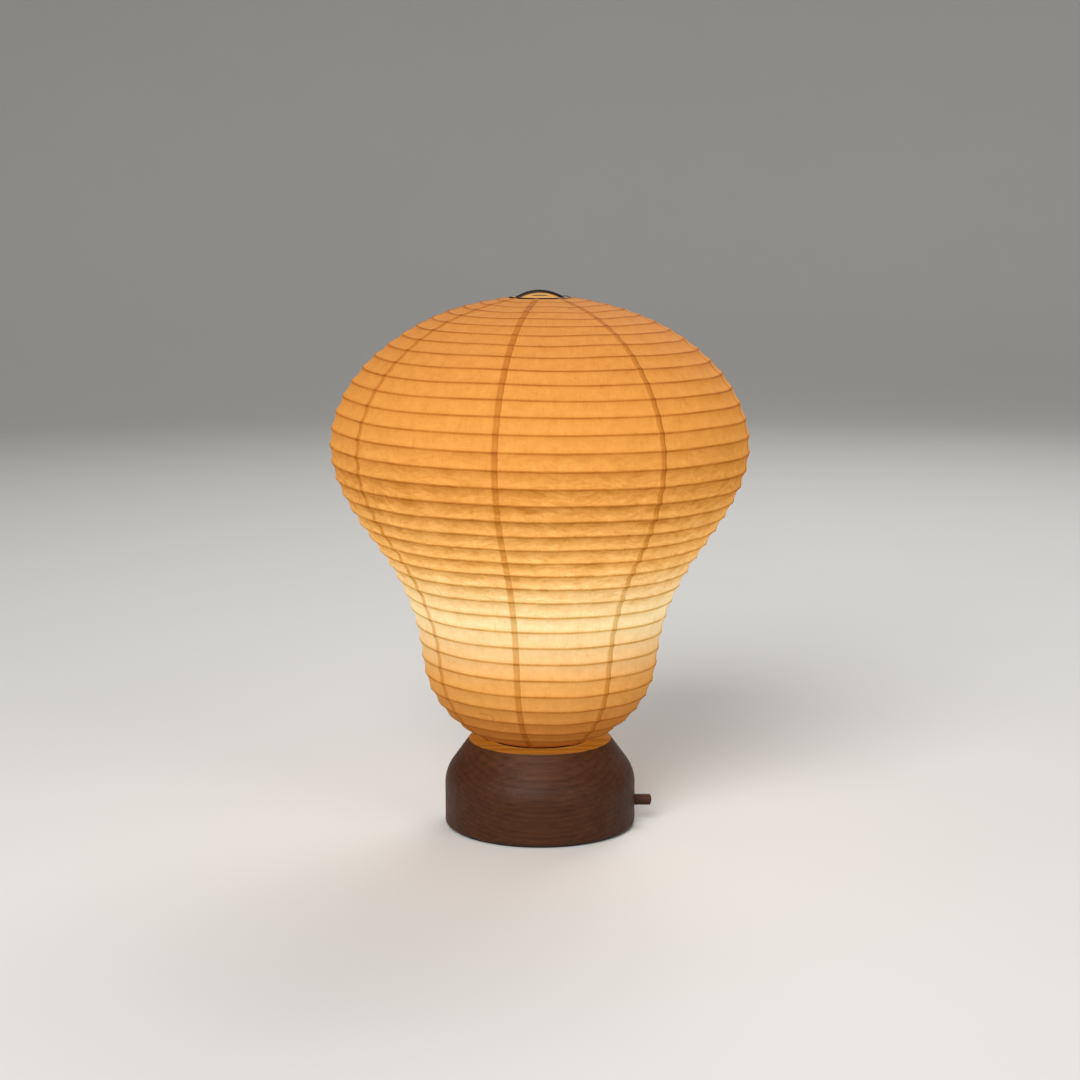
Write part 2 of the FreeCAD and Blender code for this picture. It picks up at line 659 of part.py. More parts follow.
def paper_panel():
    """One lengthwise panel from the first seam to the next, with its lap over the next panel."""
    step = 360.0 / PANELS
    sheet = paper_layer(beside_former(PAPER_T), FORMER, step)
    skin = paper_layer(FORMER, beside_former(-PAPER_T), step)
    skin.rotate(ORIGIN, UP, -step / 2)
    strip = block(V(0, -LAP_ROOT, 0), V(2 * BELLY_R, LAP_W, 2 * TOP_EDGE_Z))
    lap = skin.common(strip)
    lap.rotate(ORIGIN, UP, step)
    panel = sheet.fuse(lap)
    panel.rotate(ORIGIN, UP, SEAM_ANGLE)
    return panel


def spiral_point(turn):
    """Centre of the spiral wire after a number of turns from its upper end."""
    distance = SPIRAL_START + SPIRAL_PITCH * turn
    place = FORMER.parameterAtDistance(distance, FORMER.FirstParameter)
    flat = off_former(place, PAPER_T + FIT_GAP + WIRE_R)
    angle = math.radians(SPIRAL_START_ANGLE) + 2 * math.pi * turn
    return V(flat.x * math.cos(angle), flat.x * math.sin(angle), flat.z)


def arc_from(start, along, end):
    """Arc that leaves a point in a given direction and ends at another."""
    chord = end - start
    half = along.getAngle(chord) / 2
    side = (along - chord * (along.dot(chord) / chord.dot(chord))).normalize()
    return Part.Arc(start, start + chord / 2 + side * (chord.Length / 2 * math.tan(half)), end).toShape()


def biarc(start, along, end, onward):
    """Two tangent arcs from one point and direction to another."""
    chord = end - start
    both = along + onward
    bend = 2 * (1 - along.dot(onward))
    reach = (math.sqrt(chord.dot(both) ** 2 + bend * chord.dot(chord)) - chord.dot(both)) / bend
    joint = (start + along * reach + end - onward * reach) / 2
    joint_along = (joint - start - along * reach).normalize()
    return [arc_from(start, along, joint), arc_from(joint, joint_along, end)]


def spiral_wire():
    """The shade's one unbroken wire, wound round inside the paper from the top ring to the bottom ring."""
    turns = (FORMER_LENGTH - SPIRAL_START - SPIRAL_END) / SPIRAL_PITCH
    steps = math.ceil(turns * STEPS_PER_TURN)
    small = 1e-4
    places = [turns * k / steps for k in range(steps + 1)]
    points = [spiral_point(t) for t in places]
    ways = [(spiral_point(t + small) - spiral_point(t - small)).normalize() for t in places]
    edges = []
    for start, along, end, onward in zip(points, ways, points[1:], ways[1:]):
        edges += biarc(start, along, end, onward)
    path = Part.Wire(edges)
    gap = min((spiral_point(t + 1) - spiral_point(t)).Length for t in places if t + 1 < turns) - 2 * WIRE_R
    print("spiral wire: %.1f turns, %.0f mm long, least gap to itself %.2f mm" % (turns, path.Length, gap))
    return tube(path, WIRE_R, WIRE_SIDES)


def main():
    os.makedirs("parts", exist_ok=True)
    pieces = [
        wooden_base, felt_ring, bottom_cover, cover_screws, ballast_disc, ballast_bolt, cord_bushing,
        terminal_block, terminal_screws, switch_body, switch_screws, switch_peg, switch_plunger,
        nipple, nipple_washer, nipple_nut, nipple_collar, holder_nut, holder_cup, holder_insulator,
        holder_shell, holder_tongue, bulb_tip, bulb_insulator, bulb_cap, bulb_housing, bulb_board,
        bulb_leds, bulb_driver, bulb_globe, lead_neutral, lead_switched, lead_live, harp_ferrules, harp,
        top_ring, bottom_ring, spiral_wire,
    ]
    for piece in pieces:
        piece().exportStep("parts/%s.step" % piece.__name__)
    panel = paper_panel()
    for k in range(PANELS):
        around(panel, 1, 360.0 * k / PANELS).Solids[0].exportStep("parts/paper_panel_%d.step" % (k + 1))


main()
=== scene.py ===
import math

import bmesh
import bpy
import numpy
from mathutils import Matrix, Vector, noise


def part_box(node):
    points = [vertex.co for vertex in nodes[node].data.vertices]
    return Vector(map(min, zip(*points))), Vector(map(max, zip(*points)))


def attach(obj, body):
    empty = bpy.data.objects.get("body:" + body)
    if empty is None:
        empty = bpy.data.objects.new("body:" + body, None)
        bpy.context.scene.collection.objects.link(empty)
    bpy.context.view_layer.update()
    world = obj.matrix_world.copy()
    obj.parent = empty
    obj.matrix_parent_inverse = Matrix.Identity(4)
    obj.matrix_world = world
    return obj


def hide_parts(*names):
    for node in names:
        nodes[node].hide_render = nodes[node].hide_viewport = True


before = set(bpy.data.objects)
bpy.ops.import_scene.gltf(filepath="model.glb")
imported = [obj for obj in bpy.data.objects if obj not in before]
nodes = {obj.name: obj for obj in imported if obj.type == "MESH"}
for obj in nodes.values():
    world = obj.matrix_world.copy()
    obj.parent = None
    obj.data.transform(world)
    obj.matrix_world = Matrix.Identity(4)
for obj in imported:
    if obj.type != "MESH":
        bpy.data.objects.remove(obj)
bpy.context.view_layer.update()        # the lamp as built, in metres, standing on z = 0 with its peg towards +X
scene = bpy.context.scene
scene.view_settings.view_transform = "Standard"

# The camera stands a little over a metre in front of the lamp, on its middle line and somewhat
# higher than its top, and looks down at it by nine degrees without leaning sideways.
CAMERA_PLACE = (0.0, -1.150, 0.337)
CAMERA_DROP = 9.185          # degrees under the horizon
CAMERA_SENSOR = 36.0         # mm across
CAMERA_LENS = 74.72          # mm
camera_data = bpy.data.cameras.new("camera")
camera_data.sensor_width = CAMERA_SENSOR
camera_data.lens = CAMERA_LENS
camera = bpy.data.objects.new("camera", camera_data)
camera.location = CAMERA_PLACE
camera.rotation_euler = (math.radians(90.0 - CAMERA_DROP), 0.0, 0.0)
scene.collection.objects.link(camera)
scene.camera = camera


# The studio is one pale sheet that lies flat round the lamp and sweeps up into a wall on every
# side, so that it has no edge in any view. It looks pale, but throws little light back.
class Value:
    """A number or a colour that changes over a surface: one output of a material's nodes."""

    def __init__(self, tree, socket=None):
        self.tree = tree
        self.socket = socket

    def node(self, kind, settings, feeds, output=0):
        """Adds a node of a kind, sets it up, feeds its sockets, and gives one of its outputs."""
        made = self.tree.nodes.new("ShaderNode" + kind)
        for name, setting in settings.items():
            if name == "stops":
                for place, colour in setting[2:]:
                    made.color_ramp.elements.new(place)
                for stop, (place, colour) in zip(made.color_ramp.elements, setting):
                    stop.position = place
                    stop.color = (*colour, 1.0)
            else:
                setattr(made, name, setting)
        for name, feed in feeds.items():
            socket = made.inputs[name]
            if isinstance(feed, Value):
                self.tree.links.new(feed.socket, socket)
            elif socket.type == "RGBA":
                socket.default_value = (*feed, 1.0)
            else:
                socket.default_value = feed
        return Value(self.tree, made.outputs[output] if made.outputs else None)

    def maths(self, operation, first, second=0.0):
        return self.node("Math", {"operation": operation}, {0: first, 1: second})

    def __add__(self, other):
        return self.maths("ADD", self, other)

    def __sub__(self, other):
        return self.maths("SUBTRACT", self, other)

    def __rsub__(self, other):
        return self.maths("SUBTRACT", other, self)

    def __mul__(self, other):
        return self.maths("MULTIPLY", self, other)

    def __truediv__(self, other):
        return self.maths("DIVIDE", self, other)

    def __rtruediv__(self, other):
        return self.maths("DIVIDE", other, self)

    def __pow__(self, other):
        return self.maths("POWER", self, other)

    def __abs__(self):
        return self.maths("ABSOLUTE", self)

    __radd__ = __add__
    __rmul__ = __mul__

    def fraction(self):
        """What is left of this number over the next whole one below it."""
        return self.maths("FRACT", self)

    def larger(self, other):
        """The larger one of two numbers."""
        return self.maths("MAXIMUM", self, other)

    def fade(self, start, end, first=0.0, last=1.0):
        """Goes smoothly from the first number to the last while this one goes from start to end."""
        feeds = {0: self, 1: start, 2: end, 3: first, 4: last}
        return self.node("MapRange", {"interpolation_type": "SMOOTHSTEP"}, feeds)

    def between(self, first, second):
        """A colour from the first, at 0, to the second, at 1."""
        return self.node("Mix", {"data_type": "RGBA"}, {0: self, 6: first, 7: second}, 2)

    def tinted(self, colour):
        """This colour times another."""
        settings = {"data_type": "RGBA", "blend_type": "MULTIPLY"}
        return self.node("Mix", settings, {0: 1.0, 6: self, 7: colour}, 2)

    def axes(self):
        """The three numbers of a place."""
        split = self.node("SeparateXYZ", {}, {0: self}).socket.node
        return [Value(self.tree, output) for output in split.outputs]

    def cloud(self, scale, stretch=(1.0, 1.0, 1.0), detail=3.0, roughness=0.55, distortion=0.0):
        """Soft noise from 0 to 1, with a number of cells in a metre and its cells stretched."""
        place = self.node("Mapping", {}, {"Vector": self, "Scale": stretch})
        feeds = {"Vector": place, "Scale": scale, "Detail": detail, "Roughness": roughness}
        return self.node("TexNoise", {}, {**feeds, "Distortion": distortion})


def bare_finish(name):
    """A finish with no nodes yet, and where a point is on its piece, in metres."""
    material = bpy.data.materials.new(name)
    material.use_nodes = True
    material.node_tree.nodes.clear()
    return material, Value(material.node_tree).node("TexCoord", {}, {}, "Object")


def close_finish(material, feeds, relief=None, depth=0.0):
    """Ends a finish in its shader. A relief from 0 to 1 raises the surface by up to the depth."""
    start = Value(material.node_tree)
    if relief is not None:
        feeds["Normal"] = start.node("Bump", {}, {"Height": relief, "Distance": depth})
    shader = start.node("BsdfPrincipled", {}, feeds)
    start.node("OutputMaterial", {}, {"Surface": shader})
    return material


def new_piece(name, mesh_maker, material):
    """An object at the origin from a mesh in the making."""
    mesh = bpy.data.meshes.new(name)
    mesh_maker.to_mesh(mesh)
    mesh_maker.free()
    mesh.materials.append(material)
    mesh.polygons.foreach_set("use_smooth", [True] * len(mesh.polygons))
    piece = bpy.data.objects.new(name, mesh)
    scene.collection.objects.link(piece)
    return piece


STUDIO_FLAT = 2.0            # radius of the flat floor
STUDIO_SWEEP = 1.2           # radius of the sweep into the wall
STUDIO_HEIGHT = 3.4
STUDIO_LEVEL = -0.0002       # just under the felt
STUDIO_STEPS = 24
STUDIO_SIDES = 96
STUDIO_COLOUR = (0.84, 0.825, 0.80)
STUDIO_SHADE = (0.815, 0.800, 0.776)         # where its mottle is darkest
STUDIO_BOUNCE = (0.26, 0.255, 0.25)
WELD = 1e-6                  # points closer than this are one
studio_paint, studio_place = bare_finish("studio_paint")
studio_mottle = studio_place.cloud(6.0)
studio_pale = studio_mottle.between(STUDIO_COLOUR, STUDIO_SHADE)
studio_looked_at = sum(
    studio_place.node("LightPath", {}, {}, ray)
    for ray in ("Is Camera Ray", "Is Glossy Ray", "Is Transmission Ray"))
close_finish(studio_paint, {
    "Base Color": studio_looked_at.between(STUDIO_BOUNCE, studio_pale),
    "Roughness": studio_mottle.fade(0.3, 0.7, 0.75, 0.85),
    "Specular IOR Level": 0.2,
})
studio_mesh = bmesh.new()
studio_line = [
    studio_mesh.verts.new((share * STUDIO_FLAT, 0.0, STUDIO_LEVEL)) for share in (0.0, 0.5, 0.9, 1.0)]
for step in range(1, STUDIO_STEPS + 1):
    sweep_angle = 0.5 * math.pi * step / STUDIO_STEPS
    sweep_reach = STUDIO_FLAT + STUDIO_SWEEP * math.sin(sweep_angle)
    sweep_rise = STUDIO_LEVEL + STUDIO_SWEEP * (1.0 - math.cos(sweep_angle))
    studio_line.append(studio_mesh.verts.new((sweep_reach, 0.0, sweep_rise)))
studio_line.append(studio_mesh.verts.new((STUDIO_FLAT + STUDIO_SWEEP, 0.0, STUDIO_HEIGHT)))
for low_end, high_end in zip(studio_line, studio_line[1:]):
    studio_mesh.edges.new((low_end, high_end))
bmesh.ops.spin(
    studio_mesh, geom=studio_mesh.verts[:] + studio_mesh.edges[:], cent=(0, 0, 0), axis=(0, 0, 1),
    angle=2 * math.pi, steps=STUDIO_SIDES, use_merge=True)
bmesh.ops.remove_doubles(studio_mesh, verts=studio_mesh.verts[:], dist=WELD)
bmesh.ops.recalc_face_normals(studio_mesh, faces=studio_mesh.faces[:])
studio = new_piece("studio", studio_mesh, studio_paint)

# Three soft boxes with grids: a broad one in front and to the left, a weaker one to the right, and
# one behind. With the even light of the room they show a colour about as it is written.
GRID_SPREAD = math.radians(100.0)
LIGHTS_AIM = Vector((0.0, 0.0, 0.15))
ROOM_COLOUR = (1.0, 0.985, 0.96, 1.0)
ROOM_STRENGTH = 0.27
SOFT_LIGHTS = (              # name, place, width in metres and power in watts
    ("key_light", (-0.7, -2.1, 1.6), 1.5, 22.0),
    ("fill_light", (1.5, -1.5, 0.9), 1.4, 3.2),
    ("back_light", (0.7, 1.9, 1.7), 1.5, 8.5),
)
for light_name, light_place, light_size, light_power in SOFT_LIGHTS:
    light_data = bpy.data.lights.new(light_name, "AREA")
    light_data.size = light_size
    light_data.spread = GRID_SPREAD
    light_data.energy = light_power
    light = bpy.data.objects.new(light_name, light_data)
    light.location = light_place
    towards_lamp = LIGHTS_AIM - Vector(light_place)
    light.rotation_euler = towards_lamp.to_track_quat("-Z", "Y").to_euler()
    scene.collection.objects.link(light)
room = bpy.data.worlds.new("room")
room.use_nodes = True
room.node_tree.nodes["Background"].inputs["Color"].default_value = ROOM_COLOUR
room.node_tree.nodes["Background"].inputs["Strength"].default_value = ROOM_STRENGTH
scene.world = room


# The base is a block of walnut turned on a faceplate, with its grain lying flat along X, so the
# front shows long grain. It is sanded and oiled, and faint rings of the tool are left on it.
WALNUT_LIGHT, WALNUT_MIDDLE = (0.090, 0.029, 0.0094), (0.062, 0.019, 0.0058)
WALNUT_DARK = (0.034, 0.0096, 0.0030)
BASE_PITH = (0.120, -0.450)  # where the tree's middle was, across the grain and in height
BASE_RING_W = 0.0026
# The bulb's light on the flat top, and faintly down the shoulder, is painted on the wood as a glow.
PAINTED_BULB_LIGHT = (0.34, 0.110, 0.009)            # the bulb's light on the flat top
LIT_EDGE = 0.0003            # the light starts this little under the top
LIT_FALL = 0.016             # and reaches this far down the shoulder
LIT_SHOULDER = 0.045         # with this share of its strength
UNLIT = (0.0, 0.0, 0.0)
TOOL_DEPTH = 0.00006


def dress(material, *names):
    """Gives pieces of the lamp as built their finish."""
    for name in names:
        for slot in nodes[name].material_slots:
            slot.material = material


def oiled_walnut(name, pith, ring_width, lit_level):
    """Wood whose rings grow round a pith along X, with the bulb's light painted as a glow on its top at a
    level.
    """
    material, place = bare_finish(name)
    x, y, z = place.axes()
    waver = place.cloud(26.0, (0.25, 1.0, 1.0), 2.0) - 0.5
    across = ((y - pith[0]) ** 2.0 + (z - pith[1]) ** 2.0) ** 0.5 + waver * (1.5 * ring_width)
    ring = (across / ring_width).fraction()
    late_wood = ring.fade(0.35, 1.0) * (1.0 - ring.fade(0.97, 1.0))
    streak = place.cloud(240.0, (0.04, 1.0, 1.0), 4.0, 0.6)
    line = place.cloud(620.0, (0.022, 1.0, 1.0), 3.0, 0.6)
    pore = place.cloud(2200.0, (0.035, 1.0, 1.0), 2.0, 0.5).fade(0.60, 0.74)
    tone = late_wood * 0.26 + streak.fade(0.28, 0.72) * 0.34 + line.fade(0.30, 0.70) * 0.40
    stops = [(0.0, WALNUT_LIGHT), (0.5, WALNUT_MIDDLE), (1.0, WALNUT_DARK)]
    colour = (pore * 0.55).between(tone.node("ValToRGB", {"stops": stops}, {0: tone}), WALNUT_DARK)
    radius = (x ** 2.0 + y ** 2.0) ** 0.5
    tool_place = radius.node("CombineXYZ", {}, {"X": radius, "Y": 0.0, "Z": z})
    tool_rings = tool_place.cloud(1500.0, detail=1.0)
    # Painted light: the glow on the flat top, fading down the shoulder.
    bulb_light_painted = z.fade(lit_level - LIT_EDGE, lit_level)
    bulb_light_painted = bulb_light_painted + z.fade(lit_level - LIT_FALL, lit_level) * LIT_SHOULDER
    return close_finish(material, {
        "Base Color": colour,
        "Roughness": streak.fade(0.2, 0.8, 0.50, 0.60) + pore * 0.2,
        "Specular IOR Level": 0.22,
        "Emission Color": (bulb_light_painted * tone.fade(0.0, 1.0, 1.0, 0.62)).between(UNLIT, PAINTED_BULB_LIGHT),
        "Emission Strength": 1.0,
    }, relief=tool_rings * 0.5 + (1.0 - pore) * 0.5, depth=TOOL_DEPTH)


base_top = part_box("wooden_base")[1].z
base_walnut = oiled_walnut("base_walnut", BASE_PITH, BASE_RING_W, base_top)
dress(base_walnut, "wooden_base")

# The underside: a ring of brown wool felt that the lamp stands on, a thin cover of hardboard let
# into the wood, its zinc-plated screws, and an iron disc bolted on it as ballast.
felt, felt_place = bare_finish("wool_felt")
felt_fluff = felt_place.cloud(1800.0, detail=5.0, roughness=0.7)
close_finish(felt, {
    "Base Color": felt_fluff.between((0.030, 0.022, 0.017), (0.105, 0.080, 0.060)),
    "Roughness": felt_fluff.fade(0.2, 0.8, 0.9, 1.0),
    "Sheen Weight": 0.4,
}, relief=felt_fluff, depth=0.0003)
dress(felt, "felt_ring")

hardboard, board_place = bare_finish("hardboard")
board_chips = board_place.cloud(700.0, (1.0, 1.0, 0.3), 6.0, 0.7, 0.5)
close_finish(hardboard, {
    "Base Color": board_chips.between((0.115, 0.062, 0.032), (0.245, 0.150, 0.085)),
    "Roughness": board_chips.fade(0.3, 0.7, 0.55, 0.75),
}, relief=board_chips, depth=0.00008)
dress(hardboard, "bottom_cover")


def plain_metal(name, colour, worn, roughness, scale=500.0):
    """Metal as it comes from the works: even, a little cloudy, with fine marks of handling."""
    material, place = bare_finish(name)
    cloud = place.cloud(scale, detail=5.0, roughness=0.65)
    marks = place.cloud(scale * 6.0, (1.0, 1.0, 0.15), 2.0)
    return close_finish(material, {
        "Base Color": cloud.fade(0.3, 0.75).between(colour, worn),
        "Metallic": 1.0,
        "Roughness": cloud.fade(0.25, 0.75, roughness, roughness + 0.14) + marks * 0.06,
    }, relief=marks, depth=0.00002)


zinc_plate = plain_metal("zinc_plate", (0.62, 0.62, 0.60), (0.48, 0.48, 0.45), roughness=0.30)
cast_iron = plain_metal(
    "cast_iron", (0.16, 0.16, 0.165), (0.10, 0.095, 0.09), roughness=0.55, scale=260.0)
dress(zinc_plate, "cover_screws", "ballast_bolt")
dress(cast_iron, "ballast_disc")


# The inlet at the back is a flanged sleeve of black moulded plastic, with a terminal block of
# pale plastic behind it on the ballast. Three insulated leads run from there.
def moulded(name, colour, grain_colour, roughness, grain=1500.0, depth=0.00003):
    """Moulded plastic with the fine grain of its mould."""
    material, place = bare_finish(name)
    grains = place.cloud(grain, detail=2.0)
    smears = place.cloud(90.0, detail=3.0)
    return close_finish(material, {
        "Base Color": (grains * 0.5 + smears * 0.5).between(colour, grain_colour),
        "Roughness": smears.fade(0.3, 0.7, roughness, roughness + 0.10),
    }, relief=grains, depth=depth)


black_plastic = moulded("black_plastic", (0.014, 0.013, 0.012), (0.040, 0.038, 0.036), roughness=0.38)
white_plastic = moulded("white_plastic", (0.78, 0.77, 0.73), (0.84, 0.83, 0.80), roughness=0.40)
white_lead = moulded(
    "white_lead", (0.66, 0.64, 0.60), (0.74, 0.73, 0.69), roughness=0.50, grain=900.0)
brown_lead = moulded(
    "brown_lead", (0.12, 0.050, 0.020), (0.17, 0.080, 0.035), roughness=0.50, grain=900.0)
bright_brass = plain_metal("bright_brass", (0.80, 0.58, 0.26), (0.60, 0.40, 0.16), roughness=0.24)
dress(black_plastic, "cord_bushing")
dress(white_plastic, "terminal_block")
dress(bright_brass, "terminal_screws")
dress(white_lead, "lead_neutral")
dress(brown_lead, "lead_switched", "lead_live")

# The switch sits behind the side of the base: a black housing with two screws and a white
# plunger. On the plunger is a dowel of the same walnut, domed at its end, that is pushed in.
PEG_PITH = (0.004, 0.004)
PEG_RING_W = 0.0016
peg_walnut = oiled_walnut("peg_walnut", PEG_PITH, PEG_RING_W, base_top)
dress(black_plastic, "switch_body")
dress(zinc_plate, "switch_screws")
dress(white_plastic, "switch_plunger")
dress(peg_walnut, "switch_peg")

# The lamp holder is screwed down by a zinc-plated nipple with a washer and nuts, on a brass
# collar: a black moulded cup, and in it a porcelain disc, a rolled brass screw shell and a tongue.
THREAD_PITCH = 0.0028
THREAD_DEPTH = 0.00045
THREAD_RUN_OUT = 0.0012      # length over which the thread fades at either end
THREAD_ROWS = 64
THREAD_SIDES = 72
RIM_ANGLE = math.radians(50.0)               # a sharper edge than this stays an edge
SHELL_T = 0.0005
SHELL_LIP = 0.0016           # from the inside of the shell to the edge of its foot


def thread_rows(low, high):
    """Heights of the rows of points along a thread."""
    return [low + (high - low) * row / THREAD_ROWS for row in range(THREAD_ROWS + 1)]


def rolled_tube(name, outline, low, high, material):
    """Turns a closed outline of radii and heights, and rolls a thread into it between two heights."""
    tube = bmesh.new()
    corners = [tube.verts.new((radius, 0.0, height)) for radius, height in outline]
    for corner, following in zip(corners, corners[1:] + corners[:1]):
        tube.edges.new((corner, following))
    bmesh.ops.spin(
        tube, geom=tube.verts[:] + tube.edges[:], cent=(0, 0, 0), axis=(0, 0, 1),
        angle=2 * math.pi, steps=THREAD_SIDES, use_merge=True)
    bmesh.ops.remove_doubles(tube, verts=tube.verts[:], dist=WELD)
    for vert in tube.verts:
        run_out = min(1.0, (vert.co.z - low) / THREAD_RUN_OUT, (high - vert.co.z) / THREAD_RUN_OUT)
        if run_out > 0.0:
            wind = 2 * math.pi * vert.co.z / THREAD_PITCH - math.atan2(vert.co.y, vert.co.x)
            pressed_in = run_out * THREAD_DEPTH * (0.5 - 0.5 * math.cos(wind))
            vert.co.xy *= 1.0 - pressed_in / vert.co.xy.length
    bmesh.ops.recalc_face_normals(tube, faces=tube.faces[:])
    piece = new_piece(name, tube, material)
    piece.data.set_sharp_from_angle(angle=RIM_ANGLE)
    return piece


porcelain, porcelain_place = bare_finish("porcelain")
porcelain_specks = porcelain_place.cloud(900.0, detail=4.0)
close_finish(porcelain, {
    "Base Color": porcelain_specks.between((0.74, 0.71, 0.65), (0.84, 0.82, 0.77)),
    "Roughness": porcelain_specks.fade(0.3, 0.7, 0.30, 0.45),
}, relief=porcelain_specks, depth=0.00003)
dress(zinc_plate, "nipple", "nipple_washer", "nipple_nut", "holder_nut")
dress(bright_brass, "nipple_collar", "holder_tongue")
dress(black_plastic, "holder_cup")
dress(porcelain, "holder_insulator")
shell_low, shell_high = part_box("holder_shell")
shell_radius = shell_high.x - SHELL_LIP + THREAD_DEPTH
shell_foot = shell_low.z + SHELL_T
shell_rows = thread_rows(shell_foot, shell_high.z)
shell_outline = [(shell_radius, shell_low.z), (shell_high.x, shell_low.z), (shell_high.x, shell_foot)]
shell_outline += [(shell_radius + SHELL_T, height) for height in shell_rows]
shell_outline += [(shell_radius, height) for height in reversed(shell_rows)]
shell = rolled_tube("holder_shell_rolled", shell_outline, shell_foot, shell_high.z, bright_brass)
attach(shell, "base")
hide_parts("holder_shell")

# The bulb is a small one with a nickelled screw cap, a soldered tip in black glass, a white
# plastic body with its circuit inside, and an opal globe, which glows.
OPAL_GLOW = (0.84, 0.66, 0.40)
OPAL_DIM = 0.55              # share of the glow at the globe's lower edge
OPAL_RISE = 0.4              # share of its height over which the glow grows
CAP_T = 0.0006
CAP_COLLAR = 0.0030          # plain length under the bulb's body
nickel = plain_metal("nickel", (0.70, 0.67, 0.60), (0.58, 0.54, 0.46), roughness=0.22)
solder = plain_metal("solder", (0.60, 0.60, 0.59), (0.46, 0.46, 0.45), roughness=0.40, scale=900.0)
board_metal = plain_metal("board_metal", (0.84, 0.84, 0.82), (0.74, 0.74, 0.72), roughness=0.45)
black_glass = moulded(
    "black_glass", (0.010, 0.010, 0.012), (0.030, 0.030, 0.034), roughness=0.12, grain=400.0,
    depth=0.00001)
circuit_green = moulded("circuit_green", (0.020, 0.110, 0.050), (0.035, 0.170, 0.080), roughness=0.40)
chip_yellow = moulded("chip_yellow", (0.80, 0.56, 0.10), (0.90, 0.70, 0.22), roughness=0.55)
opal, opal_place = bare_finish("opal_globe")
opal_haze = opal_place.cloud(220.0, detail=3.0)
opal_height = opal_place.axes()[2]
opal_low, opal_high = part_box("bulb_globe")
opal_bright = opal_low.z + OPAL_RISE * (opal_high.z - opal_low.z)
opal_lit = opal_height.fade(opal_low.z, opal_bright, OPAL_DIM, 1.0)
close_finish(opal, {
    "Base Color": opal_haze.between((0.50, 0.47, 0.42), (0.58, 0.55, 0.50)),
    "Roughness": opal_haze.fade(0.3, 0.7, 0.28, 0.38),
    "Emission Color": opal_lit.between(UNLIT, OPAL_GLOW),
    "Emission Strength": 1.0,
})
dress(solder, "bulb_tip")
dress(black_glass, "bulb_insulator")
dress(white_plastic, "bulb_housing")
dress(board_metal, "bulb_board")
dress(chip_yellow, "bulb_leds")
dress(circuit_green, "bulb_driver")
dress(opal, "bulb_globe")
cap_low, cap_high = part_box("bulb_cap")
cap_outline = [(cap_high.x - CAP_T, cap_high.z), (cap_high.x - CAP_T, cap_low.z)]
cap_outline += [(cap_high.x, height) for height in thread_rows(cap_low.z, cap_high.z)]
cap = rolled_tube("bulb_cap_rolled", cap_outline, cap_low.z, cap_high.z - CAP_COLLAR, nickel)
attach(cap, "bulb")
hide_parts("bulb_cap")

# The harp is one steel rod, bent to an upside-down U, with a black-brown stove enamel. Its feet
# stand in brass ferrules in the base, and its round top stands out of the shade's upper ring.
ROD_R = 0.0013
# The bulb's light on the inner side of the harp's bend is painted on the enamel as an amber glow.
HARP_LIT_START = 0.0001      # outside the rod's middle line
HARP_LIT_FULL = 0.0007       # within it
HARP_LIT_RISE = 0.6          # share of the bend's height over which the light grows


def enamel_with_painted_light(name, painted_light_mask):
    """Enamel that is glossy and a little worn, with the bulb's light painted as an amber glow where a mask of
    the place faces the bulb.
    """
    material, place = bare_finish(name)
    flow = place.cloud(320.0, detail=4.0)
    wear = place.cloud(1100.0, detail=5.0, roughness=0.7).fade(0.60, 0.74)
    # Painted light: the amber that stands in for the bulb's light on the wire.
    amber = flow.between((0.62, 0.29, 0.075), (0.80, 0.44, 0.15))
    return close_finish(material, {
        "Base Color": wear.between((0.014, 0.008, 0.005), (0.11, 0.075, 0.045)),
        "Metallic": wear * 0.5,
        "Roughness": flow.fade(0.3, 0.7, 0.30, 0.42),
        "Specular IOR Level": 0.12,
        "Emission Color": painted_light_mask(*place.axes()).between(UNLIT, amber),
        "Emission Strength": 1.0,
    }, relief=flow, depth=0.00003)


harp_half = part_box("harp")[1].x - ROD_R           # from the axis to the middle of a leg
harp_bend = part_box("harp")[1].z - ROD_R - harp_half


def painted_light_under_harp_top(x, y, z):
    """The inner side of the rod's bend, where the bulb's light is painted."""
    reach = (x ** 2.0 + (z - harp_bend) ** 2.0) ** 0.5
    within = reach.fade(harp_half + HARP_LIT_START, harp_half - HARP_LIT_FULL)
    return within * z.fade(harp_bend, harp_bend + HARP_LIT_RISE * harp_half)


dress(enamel_with_painted_light("harp_enamel", painted_light_under_harp_top), "harp")
dress(bright_brass, "harp_ferrules")

# The shade's frame: a ring at the top, by which the shade sits on the harp, and a larger ring at the bottom,
# which ends the paper just over the base. Both are wire with the same enamel, with the bulb's light painted on
# their inner and lower side.
RING_LIT_START, RING_LIT_FULL = 0.9, 0.3     # shares of the wire's radius


def ring_enamel(name):
    """Enamel for a ring, with the bulb's light painted on its inner and lower side."""
    low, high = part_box(name)
    wire = 0.5 * (high.z - low.z)

    def painted_light_on_inner_and_lower(x, y, z):
        reach = (x ** 2.0 + y ** 2.0) ** 0.5 - (high.x - wire)
        return (reach + z - low.z).fade(RING_LIT_START * wire, RING_LIT_FULL * wire)

    return enamel_with_painted_light(name + "_enamel", painted_light_on_inner_and_lower)


for ring_name in ("top_ring", "bottom_ring"):
    dress(ring_enamel(ring_name), ring_name)


